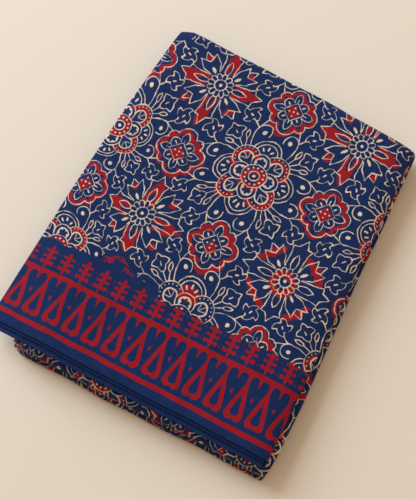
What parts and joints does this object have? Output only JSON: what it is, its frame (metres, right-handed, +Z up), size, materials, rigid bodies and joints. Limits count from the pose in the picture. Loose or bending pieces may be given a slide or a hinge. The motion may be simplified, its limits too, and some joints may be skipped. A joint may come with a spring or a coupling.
{
  "type": "folded printed cloth",
  "caption": "Folded length of block-printed ajrakh cotton in indigo, madder red and cream, with a border along one edge, lying flat as a soft rectangular bundle.",
  "frame": {"origin": "middle of the bundle's outline in plan, on the surface that it lies on", "axes": "+X runs along the printed border to the folded side edge, +Y runs from the border to the far fold, +Z is up"},
  "size_m": [0.296, 0.3754, 0.0281],
  "materials": {
    "printed_cotton": "plain woven cotton, matt, printed in indigo, red and cream"
  },
  "bodies": {
    "root": {"folded_cloth": "printed_cotton"}
  },
  "joints": []
}
